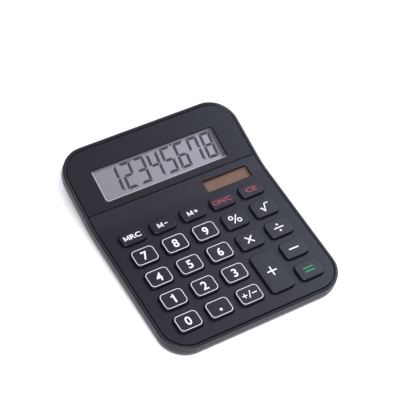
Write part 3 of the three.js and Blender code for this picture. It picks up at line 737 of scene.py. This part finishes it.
# The lens is a thin sheet of clear acrylic let into the opening: almost unseen, with a
# weak reflection that is a little smeared from handling.
acrylic, out = new_finish("clear_acrylic")
place = add_node(acrylic, "ShaderNodeTexCoord").outputs["Object"]
smear = add_node(acrylic, "ShaderNodeTexNoise", Vector=place, Scale=1 / (14 * MM),
                 Detail=2.0, Roughness=0.5)
polish = add_node(acrylic, "ShaderNodeMapRange", Value=smear.outputs["Fac"],
                  From_Min=0.3, From_Max=0.7, To_Min=0.05, To_Max=0.14)
clear = add_node(acrylic, "ShaderNodeBsdfPrincipled", Base_Color=linear("#55555c"),
                 Roughness=polish.outputs[0], IOR=1.49, Alpha=0.1)
acrylic.node_tree.links.new(clear.outputs[0], out.inputs[0])
lens_shape = loft(block_rings(*LENS_HALF, LENS_CORNER,
                              [(0, LENS_LOW), (0, LENS_TOP - CUT_EDGE), (-CUT_EDGE, LENS_TOP)],
                              8))
lens_shape.transform(tangent_frame(LCD_X, LCD_AT))
lens = finished("lens", lens_shape, [acrylic])
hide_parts("display_lens")
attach(lens, "case")

# ------------------------------------------------------------------ solar cell
# Amorphous silicon on glass: a copper-brown film behind the sheet, scribed into four
# cells, in the sunk window of the keypad plate.
CELL_PITCH = 6.9 * MM
SILICON_HALF = (14.95 * MM, 4.9 * MM)
SILICON_TOP, SILICON_LOW = -1.7 * MM, -2.7 * MM

# Silicon film seen through glass: a smooth copper brown that drifts a little in tone, with
# fine lines where the cells are parted.
cell_film, out = new_finish("silicon_film")
place = add_node(cell_film, "ShaderNodeTexCoord").outputs["Object"]
centred = add_node(cell_film, "ShaderNodeMapping", Vector=place,
                   Location=(-SOLAR_X, 0, 0)).outputs[0]
across = add_node(cell_film, "ShaderNodeSeparateXYZ", Vector=centred).outputs[0]
drift = add_node(cell_film, "ShaderNodeTexNoise", Vector=place, Scale=1 / (9 * MM),
                 Detail=2.0, Roughness=0.5)
brown = add_node(cell_film, "ShaderNodeMix", {"data_type": "RGBA"}, i0=drift.outputs["Fac"],
                 i6=linear("#5e4638"), i7=linear("#755847"))
cells = add_node(cell_film, "ShaderNodeMath", {"operation": "MULTIPLY"}, i0=across,
                 i1=1 / CELL_PITCH)
nearest = add_node(cell_film, "ShaderNodeMath", {"operation": "PINGPONG"},
                   i0=cells.outputs[0], i1=0.5)
scribe = add_node(cell_film, "ShaderNodeMath", {"operation": "LESS_THAN"},
                  i0=nearest.outputs[0], i1=0.008)
scribed = add_node(cell_film, "ShaderNodeMix", {"data_type": "RGBA"}, i0=scribe.outputs[0],
                   i6=brown.outputs[2], i7=linear("#594437"))
film = add_node(cell_film, "ShaderNodeBsdfPrincipled", Base_Color=scribed.outputs[2],
                Roughness=0.3, IOR=1.5)
cell_film.node_tree.links.new(film.outputs[0], out.inputs[0])
solar_shape = loft(block_rings(*SILICON_HALF, GLASS_CORNER,
                               [(0, SILICON_LOW), (0, SILICON_TOP - CUT_EDGE),
                                (-CUT_EDGE, SILICON_TOP)], 3))
solar_shape.transform(tangent_frame(SOLAR_X, SOLAR_AT))
solar = finished("solar_panel", solar_shape, [cell_film])
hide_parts("solar_cell")
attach(solar, "case")

# ------------------------------------------------------------------ lower shell
# The tub under the front moulding: the same charcoal ABS, pressed up against the rim so
# that a fine seam runs round the case. Its wall stands upright for a few millimetres and
# then runs in to the base, which has seats for the feet and screws and the battery slot.
WALL = 1.5
BELT = 4.8
SHELL_TOP = -2.45
CHAMFER, CHAMFER_DROP = 0.7, 2.6
FOOT_DROP = 0.8 * MM
FLOOR_TOP = FOOT_DROP + 1.6 * MM
BASE_CORNER = 8.0 * MM
BASE_HALF = HALF_WIDTH - 9.5 * MM
CASE_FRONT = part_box("case_frame")[0][1]
CASE_BACK = profile(FACE_LENGTH, -BELT * MM)[0] + FRONT_Y
BASE_FRONT, BASE_BACK = CASE_FRONT + 8.0 * MM, CASE_BACK - 10.0 * MM
POST_LOW = -6.45
SCREW_SEAT = 1.5 * MM
BOSS_RADIUS, WELL_RADIUS, WAY_RADIUS = 3.25, 2.1, 1.05
FOOT_X = 34.0 * MM
FOOT_PLACES = [(side * FOOT_X, y) for y in (CASE_FRONT + 16.0 * MM, CASE_BACK - 24.0 * MM)
               for side in (-1, 1)]
FOOT_SEAT_RADIUS, FOOT_SEAT_TOP = 4.3, 1.4
CLEAR = 0.3 * MM
DOOR_X = -17.0 * MM
DOOR_HALF, DOOR_LENGTH, DOOR_THICK = 9.0 * MM, 19.0 * MM, 1.0 * MM
DOOR_FRONT = BASE_BACK - DOOR_LENGTH
SLOT_TOP = FOOT_DROP + DOOR_THICK + CLEAR
CELL_RADIUS, CELL_THICK = 5.8 * MM, 3.05 * MM
CONTACT_REST = 0.15 * MM
POCKET_WALL = 1.6 * MM
POCKET_TOP = SLOT_TOP + CONTACT_REST + CELL_THICK + 3 * CLEAR
POCKET_HALF = CELL_RADIUS + 3 * CLEAR
POCKET_Y = DOOR_FRONT + POCKET_WALL + POCKET_HALF


def base_ring(inset, z):
    """The outline of the base at an inset from its edge and a height above the table."""
    along = [on_face(0, s, -BELT * MM)[1] for s in BEND_STATIONS]
    radius = BASE_CORNER - inset
    points = outline(BASE_HALF - inset, BASE_FRONT + inset, BASE_BACK - inset, radius, radius,
                     stations=along)
    return [Vector((x, y, z)) for x, y in points]


def box_shape(low, high, edge=0.0, steps=2):
    """A box from its two corners, its upright corners rounded by edge."""
    middle = [(a + b) / 2 for a, b in zip(low, high)]
    half = [(b - a) / 2 for a, b in zip(low, high)]
    shape = loft(block_rings(half[0], half[1], edge, [(0, -half[2]), (0, half[2])], steps))
    shape.transform(Matrix.Translation(middle))
    return shape


def seat_depth(s):
    """How far below the face the seat of a screw head lies, square to the face."""
    reach = (FRONT_HEIGHT + s * math.sin(KEYPAD_TILT) - FOOT_DROP) / math.cos(KEYPAD_TILT)
    return -(reach - SCREW_SEAT) / MM


shell_rings = [base_ring(0.6 * MM, FOOT_DROP), base_ring(0.2 * MM, FOOT_DROP + 0.12 * MM),
               base_ring(0, FOOT_DROP + 0.4 * MM)]
shell_rings += [case_ring(d * MM, n * MM) for d, n in (
    (CHAMFER, -BELT - CHAMFER_DROP), (0.44, -BELT - 1.6), (0.17, -BELT - 0.6), (0.0, -BELT),
    (0.0, -3.0), (0.0, SHELL_TOP - 0.15), (0.05, SHELL_TOP - 0.05), (0.15, SHELL_TOP),
    (WALL, SHELL_TOP), (WALL, -BELT))]
shell_rings.append(base_ring(WALL * MM, FLOOR_TOP))
tub = loft(shell_rings)
pocket_block = box_shape(
    (DOOR_X - DOOR_HALF - POCKET_WALL, DOOR_FRONT - POCKET_WALL, FOOT_DROP + 0.15 * MM),
    (DOOR_X + DOOR_HALF + POCKET_WALL, BASE_BACK, POCKET_TOP + POCKET_WALL))
tub = cut(tub, pocket_block, "UNION")
bosses = []
openings = []
for x, s in SCREW_PLACES:
    seat = seat_depth(s)
    boss = turned([(BOSS_RADIUS, seat - 0.4), (BOSS_RADIUS, POST_LOW - 0.3)])
    well = turned([(WELL_RADIUS, seat - 4), (WELL_RADIUS, seat)])
    way = turned([(WAY_RADIUS, seat - 1), (WAY_RADIUS, POST_LOW + 1)])
    for part in (boss, well, way):
        part.transform(tangent_frame(x, s))
    bosses.append(boss)
    openings += [well, way]
tub = cut(tub, merged(bosses), "UNION")
for x, y in FOOT_PLACES:
    seat = turned([(FOOT_SEAT_RADIUS, -0.2), (FOOT_SEAT_RADIUS, FOOT_SEAT_TOP)], 40)
    seat.transform(Matrix.Translation((x, y, 0)))
    openings.append(seat)
openings.append(box_shape((DOOR_X - DOOR_HALF - CLEAR, DOOR_FRONT - CLEAR, -0.2 * MM),
                          (DOOR_X + DOOR_HALF + CLEAR, CASE_BACK, SLOT_TOP)))
tub = cut(tub, merged(openings))
tub = cut(tub, box_shape((DOOR_X - POCKET_HALF, POCKET_Y - POCKET_HALF, FOOT_DROP),
                         (DOOR_X + POCKET_HALF, POCKET_Y + POCKET_HALF, POCKET_TOP), MM, 4))
shell = finished("tub", tub, [case_abs])
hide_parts("lower_shell")
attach(shell, "case")

# ------------------------------------------------------------------ feet
# Four discs of black rubber pushed into round seats in the base, with a dull moulded skin.
# They stand at the corners of one rectangle, so one disc is set out four times.

# Moulded rubber: a matt near-black with a grey bloom and fine pores, and no clear reflection.
rubber, out = new_finish("moulded_rubber")
place = add_node(rubber, "ShaderNodeTexCoord").outputs["Object"]
bloom = add_node(rubber, "ShaderNodeTexNoise", Vector=place, Scale=1 / (1.5 * MM),
                 Detail=4.0, Roughness=0.65)
pores = add_node(rubber, "ShaderNodeTexNoise", Vector=place, Scale=1 / (0.3 * MM),
                 Detail=2.0, Roughness=0.5)
dust = add_node(rubber, "ShaderNodeMix", {"data_type": "RGBA"}, i0=bloom.outputs["Fac"],
                i6=linear("#131314"), i7=linear("#232324"))
dull = add_node(rubber, "ShaderNodeMapRange", Value=bloom.outputs["Fac"], From_Min=0.3,
                From_Max=0.7, To_Min=0.75, To_Max=0.92)
pitted = add_node(rubber, "ShaderNodeBump", Height=pores.outputs["Fac"], Strength=0.5,
                  Distance=0.03 * MM)
skin = add_node(rubber, "ShaderNodeBsdfPrincipled", Base_Color=dust.outputs[2],
                Roughness=dull.outputs[0], IOR=1.52, Normal=pitted.outputs[0])
rubber.node_tree.links.new(skin.outputs[0], out.inputs[0])


def new_tree(name, *numbers):
    """A geometry node tree with a geometry input and output and named number inputs."""
    tree = bpy.data.node_groups.new(name, "GeometryNodeTree")
    tree.interface.new_socket("Geometry", in_out="INPUT", socket_type="NodeSocketGeometry")
    for number in numbers:
        tree.interface.new_socket(number, in_out="INPUT", socket_type="NodeSocketFloat")
    tree.interface.new_socket("Material", in_out="INPUT", socket_type="NodeSocketMaterial")
    tree.interface.new_socket("Geometry", in_out="OUTPUT", socket_type="NodeSocketGeometry")
    return tree


def grown(name, shape, tree, finish, **values):
    """Runs a geometry tree on a shape and returns the result as a plain mesh in a bmesh."""
    mesh = bpy.data.meshes.new(name)
    shape.to_mesh(mesh)
    shape.free()
    holder = bpy.data.objects.new(name, mesh)
    bpy.context.scene.collection.objects.link(holder)
    modifier = holder.modifiers.new("grow", "NODES")
    modifier.node_group = tree
    for socket in tree.interface.items_tree:
        if socket.in_out == "INPUT" and socket.name in values:
            modifier[socket.identifier] = values[socket.name]
        elif socket.in_out == "INPUT" and socket.name == "Material":
            modifier[socket.identifier] = finish
    graph = bpy.context.evaluated_depsgraph_get()
    made = bpy.data.meshes.new_from_object(holder.evaluated_get(graph))
    bpy.data.objects.remove(holder)
    result = bmesh.new()
    result.from_mesh(made)
    bpy.data.meshes.remove(made)
    return result


corners = new_tree("four_corners", "Across", "Along")
entry = corners.nodes.new("NodeGroupInput")
grid = add_node(corners, "GeometryNodeMeshGrid", Size_X=entry.outputs["Across"],
                Size_Y=entry.outputs["Along"], Vertices_X=2, Vertices_Y=2)
copies = add_node(corners, "GeometryNodeInstanceOnPoints", Points=grid.outputs["Mesh"],
                  Instance=entry.outputs["Geometry"])
real = add_node(corners, "GeometryNodeRealizeInstances", Geometry=copies.outputs[0])
coated = add_node(corners, "GeometryNodeSetMaterial", Geometry=real.outputs[0],
                  Material=entry.outputs["Material"])
add_node(corners, "NodeGroupOutput", Geometry=coated.outputs[0])

disc = turned([(3.3, 0.0), (3.62, 0.03), (3.86, 0.14), (3.97, 0.32), (4.0, 0.5), (4.0, 1.25)], 48)
feet = grown("feet", disc, corners, rubber, Across=FOOT_PLACES[1][0] - FOOT_PLACES[0][0],
             Along=FOOT_PLACES[2][1] - FOOT_PLACES[0][1])
feet.transform(Matrix.Translation((0, (FOOT_PLACES[2][1] + FOOT_PLACES[0][1]) / 2, 0)))
foot_set = finished("foot_set", feet, [rubber])
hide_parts("foot_front_left", "foot_front_right", "foot_back_left", "foot_back_right")
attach(foot_set, "case")

# ------------------------------------------------------------------ screws
# Four self-tapping pan-head screws of zinc-plated steel, sunk in the base, which hold the
# lower shell and the circuit board to the posts of the keypad plate.

# Zinc plating: a cool grey metal whose gloss is broken up by its crystals.
zinc, out = new_finish("zinc_plated_steel")
place = add_node(zinc, "ShaderNodeTexCoord").outputs["Object"]
plating = add_node(zinc, "ShaderNodeTexNoise", Vector=place, Scale=1 / (0.8 * MM),
                   Detail=4.0, Roughness=0.6)
shade = add_node(zinc, "ShaderNodeMix", {"data_type": "RGBA"}, i0=plating.outputs["Fac"],
                 i6=linear("#8d9095"), i7=linear("#b3b5b8"))
matt = add_node(zinc, "ShaderNodeMapRange", Value=plating.outputs["Fac"], From_Min=0.3,
                From_Max=0.7, To_Min=0.28, To_Max=0.42)
steel = add_node(zinc, "ShaderNodeBsdfPrincipled", Base_Color=shade.outputs[2],
                 Metallic=1.0, Roughness=matt.outputs[0])
zinc.node_tree.links.new(steel.outputs[0], out.inputs[0])
SLOT_HALF, SLOT_WIDTH = 1.05 * MM, 0.36 * MM
screws = []
for s in sorted({place[1] for place in SCREW_PLACES}):
    head = seat_depth(s) - 0.15
    pan = turned([(0.9, head - 0.9), (1.4, head - 0.82), (1.7, head - 0.58), (1.8, head - 0.3),
                  (1.8, head), (0.72, head), (0.72, POST_LOW + 2.6), (0.12, POST_LOW + 3.2)], 28)
    for turn in (0, 90):
        blade = box_shape((-SLOT_HALF, -SLOT_WIDTH / 2, (head - 1.5) * MM),
                          (SLOT_HALF, SLOT_WIDTH / 2, (head - 0.42) * MM))
        blade.transform(Matrix.Rotation(math.radians(turn), 4, "Z"))
        pan = cut(pan, blade)
    row = grown("screw_row", pan, corners, zinc, Across=2 * SCREW_X, Along=0.0)
    row.transform(tangent_frame(0, s))
    screws.append(row)
screw_set = finished("screw_set", merged(screws), [zinc])
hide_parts("screw_1", "screw_2", "screw_3", "screw_4")
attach(screw_set, "case")

# ------------------------------------------------------------------ battery door
# A flat slide of the same ABS, flush with the base, with three moulded ribs that give the
# finger a hold. It slides out of the base to the back.
RIB_LENGTH, RIB_PITCH, RIB_RADIUS = 8.0 * MM, 1.6 * MM, 0.29 * MM
RIB_COUNT = 3
ribbed = new_tree("grip_ribs", "Length", "Pitch", "Radius")
entry = ribbed.nodes.new("NodeGroupInput")
half_length = add_node(ribbed, "ShaderNodeMath", {"operation": "MULTIPLY"},
                       i0=entry.outputs["Length"], i1=0.5)
left_end = add_node(ribbed, "ShaderNodeMath", {"operation": "MULTIPLY"},
                    i0=entry.outputs["Length"], i1=-0.5)
end_b = add_node(ribbed, "ShaderNodeCombineXYZ", X=half_length.outputs[0])
end_a = add_node(ribbed, "ShaderNodeCombineXYZ", X=left_end.outputs[0])
spine = add_node(ribbed, "GeometryNodeCurvePrimitiveLine", Start=end_a.outputs[0],
                 End=end_b.outputs[0])
section = add_node(ribbed, "GeometryNodeCurvePrimitiveCircle", Resolution=16,
                   Radius=entry.outputs["Radius"])
bar = add_node(ribbed, "GeometryNodeCurveToMesh", Curve=spine.outputs[0],
               Profile_Curve=section.outputs[0], Fill_Caps=True)
step = add_node(ribbed, "ShaderNodeCombineXYZ", Y=entry.outputs["Pitch"])
line = add_node(ribbed, "GeometryNodeMeshLine", {"mode": "OFFSET"}, Count=RIB_COUNT,
                Offset=step.outputs[0])
bars = add_node(ribbed, "GeometryNodeInstanceOnPoints", Points=line.outputs[0],
                Instance=bar.outputs[0])
both = add_node(ribbed, "GeometryNodeJoinGeometry")
for part in (entry.outputs["Geometry"], bars.outputs[0]):
    ribbed.links.new(part, both.inputs[0])
real = add_node(ribbed, "GeometryNodeRealizeInstances", Geometry=both.outputs[0])
coated = add_node(ribbed, "GeometryNodeSetMaterial", Geometry=real.outputs[0],
                  Material=entry.outputs["Material"])
add_node(ribbed, "NodeGroupOutput", Geometry=coated.outputs[0])

DOOR_BACK = BASE_BACK - CLEAR
DOOR_CORNER = 0.5 * MM
door_levels = [(-0.2 * MM, 0.0), (-0.06 * MM, 0.06 * MM), (0.0, 0.2 * MM), (0.0, DOOR_THICK)]
door_plate = loft(block_rings(DOOR_HALF, (DOOR_BACK - DOOR_FRONT) / 2, DOOR_CORNER,
                              door_levels, 5))
first_rib = BASE_BACK - 2.7 * MM - (RIB_COUNT - 1) * RIB_PITCH
door_plate.transform(Matrix.Translation((0, (DOOR_BACK + DOOR_FRONT) / 2 - first_rib, 0)))
door = grown("door", door_plate, ribbed, case_abs, Length=RIB_LENGTH, Pitch=RIB_PITCH,
             Radius=RIB_RADIUS)
door.transform(Matrix.Translation((DOOR_X, first_rib, FOOT_DROP)))
slide = finished("door_panel", door, [case_abs])
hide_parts("battery_door")
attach(slide, "battery_door")

# ------------------------------------------------------------------ inside the case
# The pieces that the case hides keep their plain shapes and take the finish of the real
# ones: a milky grey silicone mat, a green lacquered board, a glossy black resin drop, a
# violet sleeve on the capacitor, an amber film ribbon, and bright nickel cell and springs.


def plain_finish(name, dark, light, patch_mm, rough, metal=0.0, bump=0.0):
    """A cloudy two-tone surface with the given gloss; patch_mm is the size of its clouds."""
    finish, out = new_finish(name)
    place = add_node(finish, "ShaderNodeTexCoord").outputs["Object"]
    cloud = add_node(finish, "ShaderNodeTexNoise", Vector=place,
                     Scale=1 / (patch_mm * MM), Detail=4.0, Roughness=0.6)
    tone = add_node(finish, "ShaderNodeMix", {"data_type": "RGBA"}, i0=cloud.outputs["Fac"],
                    i6=linear(dark), i7=linear(light))
    gloss = add_node(finish, "ShaderNodeMapRange", Value=cloud.outputs["Fac"],
                     From_Min=0.3, From_Max=0.7, To_Min=rough * 0.85, To_Max=rough * 1.15)
    relief = add_node(finish, "ShaderNodeBump", Height=cloud.outputs["Fac"],
                      Strength=0.4, Distance=bump * MM)
    body = add_node(finish, "ShaderNodeBsdfPrincipled", Base_Color=tone.outputs[2],
                    Roughness=gloss.outputs[0], Metallic=metal, Normal=relief.outputs[0])
    finish.node_tree.links.new(body.outputs[0], out.inputs[0])
    return finish


nickel = plain_finish("nickel_plated_steel", "#b9bbc0", "#d6d7da", 0.6, 0.22, 1.0, 0.004)
for node, finish in (
    ("key_mat", plain_finish("silicone_rubber", "#83878a", "#989c9f", 3.0, 0.6, 0.0, 0.02)),
    ("circuit_board", plain_finish("solder_mask", "#1f5a38", "#2d7148", 5.0, 0.35, 0.0, 0.01)),
    ("chip_resin", plain_finish("potting_resin", "#0d0d10", "#17171b", 2.0, 0.2, 0.0, 0.02)),
    ("capacitor", plain_finish("shrunk_sleeve", "#3b3168", "#4d4380", 1.0, 0.3, 0.0, 0.01)),
    ("display_ribbon", plain_finish("polyimide_film", "#a8762f", "#c28f45", 2.0, 0.3, 0.0, 0.005)),
    ("button_cell", nickel),
    ("contact_negative", nickel),
    ("contact_positive", nickel),
):
    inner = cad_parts[node]
    for holder in inner.material_slots:
        holder.material = finish
